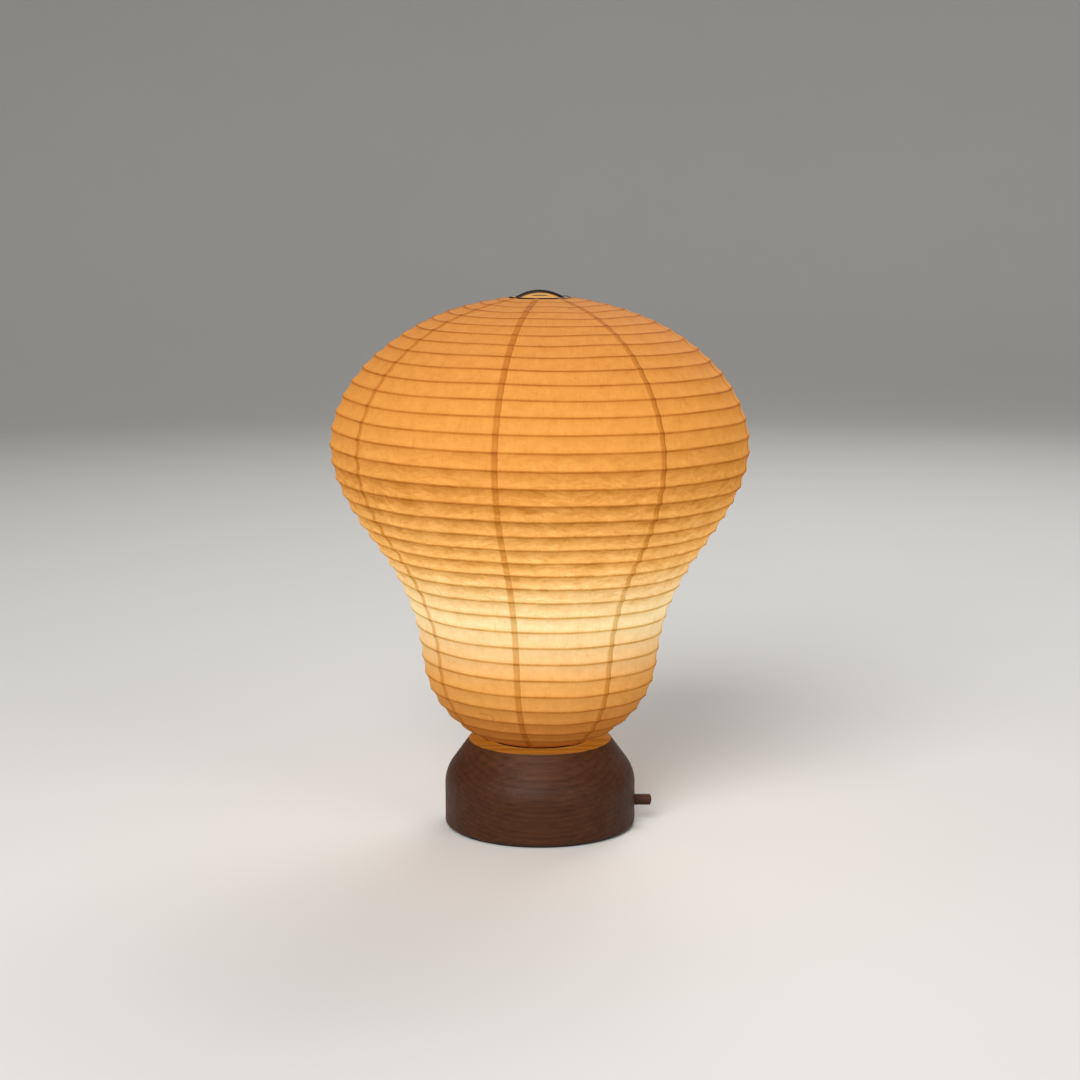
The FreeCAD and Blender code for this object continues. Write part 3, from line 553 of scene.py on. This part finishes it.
# One fine steel wire winds round the former from ring to ring, left-handed and at an even
# distance along the outline, and carries the paper. It was wound on a wooden former.
FORMER_STATIONS = (          # radius and height, from the top ring to the bottom ring
    (0.01605, 0.2765), (0.0560, 0.2660), (0.0906, 0.2420), (0.1080, 0.2030), (0.0984, 0.1700),
    (0.0750, 0.1340), (0.0632, 0.1010), (0.0585, 0.0770), (0.0438, 0.0560), (0.02755, 0.04735))
FORMER_POINTS = 3001
PAPER_T = 0.0003
WIRE_R = 0.0005
WIRE_ROOM = 0.00005          # between the wire and the paper
WIRE_PITCH = 0.00872
WIRE_START = 0.0010          # distance along the former of the wire's upper end
WIRE_START_ANGLE = math.radians(341.0)
WIRE_END = 0.0014            # from the lower edge
WIRE_POINTS = 72             # in a turn
STRAY_ALONG = 0.0006         # how far the hand-made shade strays along the former
STRAY_OUT = 0.0005           # and outwards
STRAY_CELLS = (2.2, 24.0)    # how closely it strays to and fro, around and along


def smooth_line(points):
    """Points close together on a smooth line through a few, as arrays of length, radius and height."""
    spots = numpy.array(points)
    steps = numpy.linalg.norm(numpy.diff(spots, axis=0), axis=1)
    times = numpy.concatenate(([0.0], numpy.cumsum(steps)))
    slopes = numpy.diff(spots, axis=0) / steps[:, None]
    count = len(spots)
    # The line's bend is steady through the inner stations, and each end follows its nearest four.
    system, wanted = numpy.eye(count), numpy.zeros((count, 2))
    for k in range(1, count - 1):
        system[k, k - 1:k + 2] = steps[k], 2 * (steps[k - 1] + steps[k]), steps[k - 1]
        wanted[k] = 3 * (steps[k] * slopes[k - 1] + steps[k - 1] * slopes[k])
    for end, near in ((0, slice(0, 4)), (count - 1, slice(count - 4, count))):
        for axis in (0, 1):
            cubic = numpy.polyfit(times[near] - times[end], spots[near, axis], 3)
            wanted[end, axis] = cubic[2]
    ways = numpy.linalg.solve(system, wanted)
    dense = numpy.linspace(0.0, times[-1], FORMER_POINTS)
    span = numpy.clip(numpy.searchsorted(times, dense, "right") - 1, 0, count - 2)
    share = ((dense - times[span]) / steps[span])[:, None]
    start, end, first, last = spots[span], spots[span + 1], ways[span], ways[span + 1]
    line = (
        (2 * share ** 3 - 3 * share ** 2 + 1) * start + (3 * share ** 2 - 2 * share ** 3) * end
        + ((share ** 3 - 2 * share ** 2 + share) * first
           + (share ** 3 - share ** 2) * last) * steps[span][:, None])
    pieces = numpy.linalg.norm(numpy.diff(line, axis=0), axis=1)
    return numpy.concatenate(([0.0], numpy.cumsum(pieces))), line[:, 0], line[:, 1]


former_length, former_radius, former_height = smooth_line(FORMER_STATIONS)
former_lean = numpy.arctan2(numpy.gradient(former_height), numpy.gradient(former_radius))
shade_length = former_length[-1]


def outwards(length, angle):
    """Direction square to the paper, at a distance along the former and an angle."""
    lean = numpy.interp(length, former_length, former_lean)
    return Vector((-math.sin(lean) * math.cos(angle), -math.sin(lean) * math.sin(angle), math.cos(lean)))


def on_shade(length, angle, outward):
    """Point at a distance along the former, turned to an angle and moved square to the paper."""
    radius = numpy.interp(length, former_length, former_radius)
    height = numpy.interp(length, former_length, former_height)
    spot = Vector((radius * math.cos(angle), radius * math.sin(angle), height))
    return spot + outwards(length, angle) * outward


def unevenness(length, angle):
    """How far the shade strays along the former and outwards there, in metres."""
    around, along = STRAY_CELLS
    spot = Vector((around * math.cos(angle), around * math.sin(angle), along * length))
    elsewhere = spot + Vector((9.0, 4.0, 2.0))
    return STRAY_ALONG * noise.noise(spot), STRAY_OUT * noise.noise(elsewhere)


def near_edges(length):
    """Goes from 0 at the rings to 1 a turn of wire away from them."""
    return max(0.0, min(1.0, length / WIRE_PITCH, (shade_length - length) / WIRE_PITCH))


wire_turns = (shade_length - WIRE_START - WIRE_END) / WIRE_PITCH
wire_line = bpy.data.curves.new("spiral_wire_round", "CURVE")
wire_line.dimensions = "3D"
wire_line.bevel_depth = WIRE_R
wire_line.bevel_resolution = 1
wire_line.use_fill_caps = True
wire_spline = wire_line.splines.new("POLY")
wire_count = int(wire_turns * WIRE_POINTS)
wire_spline.points.add(wire_count)
for k, point in enumerate(wire_spline.points):
    turn = wire_turns * k / wire_count
    angle = WIRE_START_ANGLE + 2 * math.pi * turn
    length = WIRE_START + WIRE_PITCH * turn
    along, outward = (near_edges(length) * stray for stray in unevenness(length, angle))
    point.co = (*on_shade(length + along, angle, outward - PAPER_T - WIRE_ROOM - WIRE_R), 1.0)
wire_curve = bpy.data.objects.new("wire_curve", wire_line)
scene.collection.objects.link(wire_curve)
bent_wire = wire_curve.evaluated_get(bpy.context.evaluated_depsgraph_get())
wire_mesh = bpy.data.meshes.new_from_object(bent_wire)
wire_mesh.polygons.foreach_set("use_smooth", [True] * len(wire_mesh.polygons))
bpy.data.objects.remove(wire_curve)
spiral_brown = plain_metal(
    "spiral_brown", (0.20, 0.115, 0.055), (0.34, 0.22, 0.12), roughness=0.35)
wire_mesh.materials.clear()
wire_mesh.materials.append(spiral_brown)
spiral = bpy.data.objects.new("spiral_wire_round", wire_mesh)
scene.collection.objects.link(spiral)
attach(spiral, "shade")
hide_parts("spiral_wire")

# The paper: eight lengths of strong washi pasted over the wire, each lapped over the next. It is
# drawn taut between the turns over the belly, and gathers into small folds under the belly.
PANELS = 8
PANEL_ANGLE = 2 * math.pi / PANELS
SEAM_ANGLE = math.radians(32.4)
LAP_W = 0.0035
PANEL_COLUMNS = 48
PANEL_STEP = 0.3             # between panels in the paper's pattern, so that no two are alike
PANEL_TUCK = 0.0009          # how far a panel's own edge lies under the lap beside it
LAP_COLUMNS = (              # distance past the seam, and the share of the paper's thickness left there
    (0.0008, 1.0), (0.0022, 1.0), (LAP_W, 0.35))
LAP_ROOM = 0.05              # between the layers of a lap, as a share of the paper's thickness
ROWS_PER_TURN = 8
PUCKER_HIGH, PUCKER_LOW = 0.196, 0.134       # heights between which the paper gathers
PUCKER_EASE_HIGH, PUCKER_EASE_LOW = 0.022, 0.014
SAG = 0.00078                # of the paper between two turns of wire
SAG_GATHERED = 0.00020       # more of it where the paper gathers
SAG_CROWN = 0.00038          # less of it at the crown
SAG_SLACK = 0.40             # how much it varies, as a share
SAG_CELLS = (9.0, 4.7)       # how closely it varies, around and from turn to turn
CROWN_LOW = 0.240            # height over which the paper lies flatter between the turns
FOLD_DEPTH = 0.00075         # of the small folds where the paper gathers
FOLD_LEAST = 0.00008         # and elsewhere
# Folds are darkened by painted shade, in full from this depth.
FOLD_FULL = 0.0004           # a fold as deep as this is marked in full
FOLD_CELLS = (16.0, 260.0)   # how closely the folds lie, around and along
FOLD_LARGE, FOLD_SMALL = 0.7, 0.5            # shares of the larger folds and of those between them
FOLD_FINER = 2.1             # how much closer the smaller ones lie
FOLD_UPPER = 1.25            # folds are deeper in the upper part of a strip
# The wire under the paper shows as a painted shadow, with a painted shade beside it.
WIRE_SHADOW = (0.00026, 0.00080)             # from the wire's middle line, where its dark line fades
WIRE_HALO = (0.0004, 0.0022)                 # and the dimmer strip beside it
# The bends where lengths of wire join show as painted shadows too.
BEND_SHADOW = (0.00022, 0.00062)             # the same for the bends where lengths of wire join
BEND_END = 0.0004
BEND_DARK = 0.8              # how dark they are beside the wire's own line
WIRE_BENDS = (               # angle and turn of wire, and points of the bend around and along
    (math.radians(241.7), 32, (
        (-0.0056, -0.0036), (-0.0004, -0.0039), (0.0015, -0.0032), (0.0022, -0.0019), (0.0014, -0.0006),
        (-0.0006, 0.0))),
    (math.radians(273.0), 7, ((-0.0042, -0.0012), (0.0006, 0.0))),
    (math.radians(317.8), 30, ((-0.0008, -0.0010), (0.0010, -0.0005))),
)
CREASED_HIGH = (0.222, 0.180)                # heights over which the creases start, from above
CREASED_LOW = (0.112, 0.142)                 # and from below
# The bulb's light through the paper is painted as a glow that changes with height, and a stronger one on the
# paper's inner side.
GLOW_INSIDE = (0.46, 0.26, 0.095)
GLOW_BY_HEIGHT = [           # share of the shade's height, and the light that comes through there
    (0.00, (0.10, 0.020, 0.001)), (0.06, (0.24, 0.070, 0.004)), (0.16, (0.47, 0.225, 0.056)),
    (0.31, (0.77, 0.66, 0.39)), (0.45, (0.73, 0.41, 0.125)), (0.60, (0.48, 0.205, 0.038)),
    (0.78, (0.39, 0.142, 0.014)), (0.94, (0.25, 0.068, 0.003)), (1.00, (0.16, 0.037, 0.001))]
PAPER_DEPTH = 0.0004         # of the relief in the paper's finish
shade_low, shade_high = FORMER_STATIONS[-1][1], FORMER_STATIONS[0][1]


def ease(value, start, end):
    """Goes smoothly from 0 to 1 while the value goes from start to end."""
    share = max(0.0, min(1.0, (value - start) / (end - start)))
    return share * share * (3 - 2 * share)


def turn_at(length, angle):
    """Number of turns of wire from the wire's start to a place: a whole number on the wire itself."""
    return (length - WIRE_START) / WIRE_PITCH - (angle - WIRE_START_ANGLE) / (2 * math.pi)


def paper_relief(length, angle):
    """How far the paper stands out from the former, and how deep its fold is there, in metres."""
    turn = turn_at(length, angle)
    strip = turn - math.floor(turn)
    between_turns = 4 * strip * (1 - strip)
    height = numpy.interp(length, former_length, former_height)
    gathered = ease(height, PUCKER_HIGH + PUCKER_EASE_HIGH, PUCKER_HIGH - PUCKER_EASE_HIGH)
    gathered *= ease(height, PUCKER_LOW - PUCKER_EASE_LOW, PUCKER_LOW + PUCKER_EASE_LOW)
    around = Vector((math.cos(angle), math.sin(angle), 0.0))
    spot = around * SAG_CELLS[0] + Vector((0.0, 0.0, SAG_CELLS[1] * math.floor(turn)))
    slack = 1.0 + SAG_SLACK * noise.noise(spot)
    drawn_in = SAG - SAG_CROWN * ease(height, CROWN_LOW, shade_high) + SAG_GATHERED * gathered
    sag = drawn_in * slack * between_turns
    crease = around * FOLD_CELLS[0] + Vector((0.0, 0.0, FOLD_CELLS[1] * length))
    folds = FOLD_LARGE * abs(noise.noise(crease)) + FOLD_SMALL * abs(noise.noise(crease * FOLD_FINER))
    folds *= between_turns * (FOLD_UPPER - strip) * (FOLD_DEPTH * gathered + FOLD_LEAST)
    return near_edges(length) * (-sag - folds), folds


def panel_place(column, panel):
    """Angle of a panel's column, and its distance past the next seam with the thickness left there."""
    seam = SEAM_ANGLE + panel * PANEL_ANGLE
    if column <= PANEL_COLUMNS:
        return seam + PANEL_ANGLE * column / PANEL_COLUMNS, (0.0, 1.0)
    return seam + PANEL_ANGLE, LAP_COLUMNS[column - PANEL_COLUMNS - 1]


def paper_panel(panel, material):
    """One length of paper: a grid laid on the former along the turns of wire, and given its thickness."""
    columns = PANEL_COLUMNS + len(LAP_COLUMNS)
    rows = int((shade_length / WIRE_PITCH + 2) * ROWS_PER_TURN)
    sheet = bmesh.new()
    bmesh.ops.create_grid(sheet, x_segments=columns, y_segments=rows, size=0.5)
    layer_names = ("turn", "along", "around", "lap", "fold", "inside", "thick")
    layers = {name: sheet.verts.layers.float.new(name) for name in layer_names}
    middle = SEAM_ANGLE + (panel + 0.5) * PANEL_ANGLE
    for vert in sheet.verts:
        column = round((vert.co.x + 0.5) * columns)
        row = round((0.5 - vert.co.y) * rows)
        angle, (past, thick) = panel_place(column, panel)
        wound = (angle - WIRE_START_ANGLE) / (2 * math.pi)
        first = math.floor(-wound * ROWS_PER_TURN) / ROWS_PER_TURN - 1.0
        length = WIRE_START + WIRE_PITCH * (wound + first + row / ROWS_PER_TURN)
        length = max(0.0, min(shade_length, length))
        radius = numpy.interp(length, former_length, former_radius)
        angle += past / radius
        if column == 0:
            angle += PANEL_TUCK / radius
        relief, fold = paper_relief(length, angle)
        along, outward = (near_edges(length) * stray for stray in unevenness(length, angle))
        lap = 1.0 if past else 0.0
        vert.co = on_shade(length + along, angle, relief + outward + lap * (thick + LAP_ROOM) * PAPER_T)
        vert[layers["turn"]] = turn_at(length, angle)
        vert[layers["along"]] = length
        vert[layers["around"]] = (angle - middle) * radius + PANEL_STEP * panel
        vert[layers["lap"]] = lap
        vert[layers["fold"]] = fold / FOLD_FULL
        vert[layers["thick"]] = thick
    bmesh.ops.remove_doubles(sheet, verts=sheet.verts[:], dist=WELD)
    bmesh.ops.dissolve_degenerate(sheet, edges=sheet.edges[:], dist=WELD)
    outer_side = set(sheet.verts)
    bmesh.ops.extrude_face_region(sheet, geom=sheet.faces[:], use_keep_orig=True)
    for vert in sheet.verts:
        if vert not in outer_side:
            inwards = -outwards(vert[layers["along"]], math.atan2(vert.co.y, vert.co.x))
            vert.co += inwards * (PAPER_T * vert[layers["thick"]])
            vert[layers["inside"]] = 1.0
    bmesh.ops.recalc_face_normals(sheet, faces=sheet.faces[:])
    return new_piece("shade_paper_%d" % (panel + 1), sheet, material)


def washi(name):
    """Paper with its fibres and painted light: the wire's painted shadow, laps and folds in painted shade, and
    the bulb's light painted as a glow.
    """
    material, place = bare_finish(name)

    def carried(layer):
        """What the panels' points carry in a layer."""
        return place.node("Attribute", {"attribute_name": layer}, {}, "Fac")

    turn, along, around = carried("turn"), carried("along"), carried("around")
    lap, fold, inside = carried("lap"), carried("fold"), carried("inside")
    flat = around.node("CombineXYZ", {}, {"X": around, "Y": along, "Z": 0.0})

    def strands(heading):
        """Fine long fibres that lie about one way."""
        turned = flat.node("Mapping", {}, {"Vector": flat, "Rotation": (0.0, 0.0, heading)})
        swell = turned.cloud(360.0, (0.16, 1.0, 1.0), 1.0, 0.5, 0.35)
        here_and_there = turned.cloud(110.0, detail=1.0).fade(0.45, 0.60)
        return abs(swell - 0.5).fade(0.0, 0.016, 1.0, 0.0) * here_and_there

    def creases(slant):
        """Shallow folds across the strips, from -0.5 to 0.5, that slant one way."""
        across = around * 110.0 + along * (70.0 * slant)
        down = along * 480.0 - around * (130.0 * slant)
        leaning = around.node("CombineXYZ", {}, {"X": across, "Y": down, "Z": slant})
        return leaning.cloud(1.0, detail=4.0, roughness=0.66, distortion=0.9) - 0.5

    def bend(angle, wire_turn, points):
        """Painted shadow of a bend of wire under the paper, on straight pieces from point to point."""
        panel = math.floor((angle - SEAM_ANGLE) / PANEL_ANGLE)
        length = WIRE_START + WIRE_PITCH * (wire_turn + (angle - WIRE_START_ANGLE) / (2 * math.pi))
        radius = numpy.interp(length, former_length, former_radius)
        u = around - ((angle - SEAM_ANGLE - (panel + 0.5) * PANEL_ANGLE) * radius + PANEL_STEP * panel)
        v = (turn - wire_turn) * WIRE_PITCH
        mark = 0.0
        for (u0, v0), (u1, v1) in zip(points, points[1:]):
            reach = math.hypot(u1 - u0, v1 - v0)
            way_u, way_v = (u1 - u0) / reach, (v1 - v0) / reach
            share = (u - u0) * way_u + (v - v0) * way_v
            beyond = abs(share - 0.5 * reach) - 0.5 * reach
            aside = abs((v - v0) * way_u - (u - u0) * way_v)
            stroke = aside.fade(*BEND_SHADOW, 1.0, 0.0) * beyond.fade(0.0, BEND_END, 1.0, 0.0)
            mark = stroke.larger(mark)
        return mark

    height = place.axes()[2]
    strip = turn.fraction()
    from_wire = (0.5 - abs(strip - 0.5)) * WIRE_PITCH
    # Painted shadow of the wire under the paper, and painted shade beside it.
    painted_wire_shadow = from_wire.fade(*WIRE_SHADOW, 1.0, 0.0)
    for wire_bend in WIRE_BENDS:
        painted_wire_shadow = painted_wire_shadow.larger(bend(*wire_bend) * BEND_DARK)
    painted_shade_beside_wire = from_wire.fade(*WIRE_HALO, 1.0, 0.0)
    mottle = flat.cloud(170.0, detail=5.0, roughness=0.6)
    fibre = strands(1.30).larger(strands(2.45))
    laid = flat.cloud(1500.0, (1.0, 0.06, 1.0), 2.0)
    grain = flat.cloud(1300.0, detail=2.0, roughness=0.6)
    tissue = mottle * 0.40 + laid * 0.20 + grain * 0.25 + (1.0 - fibre) * 0.15
    # Painted light: the bulb's glow through the paper, by height, and another on the inner side.
    glow_height = (height - shade_low) / (shade_high - shade_low)
    glow = glow_height.node("ValToRGB", {"stops": GLOW_BY_HEIGHT}, {0: glow_height})
    under = height.fade(*CREASED_HIGH) * height.fade(*CREASED_LOW)
    left_or_right = flat.cloud(38.0, detail=1.0).fade(0.42, 0.58)
    crease = creases(1.0) * left_or_right + creases(-0.7) * (1.0 - left_or_right)
    slack = flat.cloud(75.0, (1.0, 0.6, 1.0), 2.0).fade(0.3, 0.7, 0.45, 1.4)
    # Painted shade: the upper part of each strip under the belly, and the folds, are darker.
    shaded = (1.0 - strip) ** 2.0 * slack * (under * 0.26 + 0.03) + fold.fade(0.2, 1.4) * 0.20
    wire_shadow_darkness = flat.cloud(45.0, detail=2.0).fade(0.3, 0.7, 0.23, 0.35)
    # The laps are darker as painted shade, where two layers of paper let less of the bulb's light through.
    painted_shade_and_tone = (1.0 - painted_wire_shadow * wire_shadow_darkness) * (1.0 - painted_shade_beside_wire * 0.06) * (1.0 - lap * 0.24)
    # The creases are painted lighter and darker, more so under the belly.
    painted_shade_and_tone = painted_shade_and_tone * (1.0 - shaded) * (1.0 + crease * (under * 0.70 + 0.12))
    painted_shade_and_tone = painted_shade_and_tone * tissue.fade(0.3, 0.8, 0.87, 1.07)
    # The painted shade and the paper's tone, as a colour that darkens both the paper's own colour and its glow.
    painted_shade_and_tone_colour = painted_shade_and_tone.node("CombineColor", {}, {0: painted_shade_and_tone, 1: painted_shade_and_tone ** 1.55, 2: painted_shade_and_tone ** 2.9})
    # The paper's own colour is set amber, the colour of the bulb's light through it: painted light.
    ground = tissue.between((0.455, 0.198, 0.046), (0.545, 0.244, 0.060))
    return close_finish(material, {
        "Base Color": painted_shade_and_tone_colour.tinted(ground),
        "Roughness": tissue.fade(0.2, 0.8, 0.78, 0.92),
        "Specular IOR Level": 0.25,
        "Emission Color": painted_shade_and_tone_colour.tinted(inside.between(glow, GLOW_INSIDE)),
        "Emission Strength": 1.0,
    }, relief=tissue * 0.2 + fibre * 0.1 + crease * (under * 0.8 + 0.1), depth=PAPER_DEPTH)


panel_cut = (PANEL_ANGLE * former_radius.max() + LAP_W, shade_length)
panel_area = PANEL_ANGLE * numpy.dot(former_radius[1:], numpy.diff(former_length)) + LAP_W * shade_length
lit_washi = washi("lit_washi")
for panel in range(PANELS):
    paper = paper_panel(panel, lit_washi)
    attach(paper, "shade")
    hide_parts("paper_panel_%d" % (panel + 1))
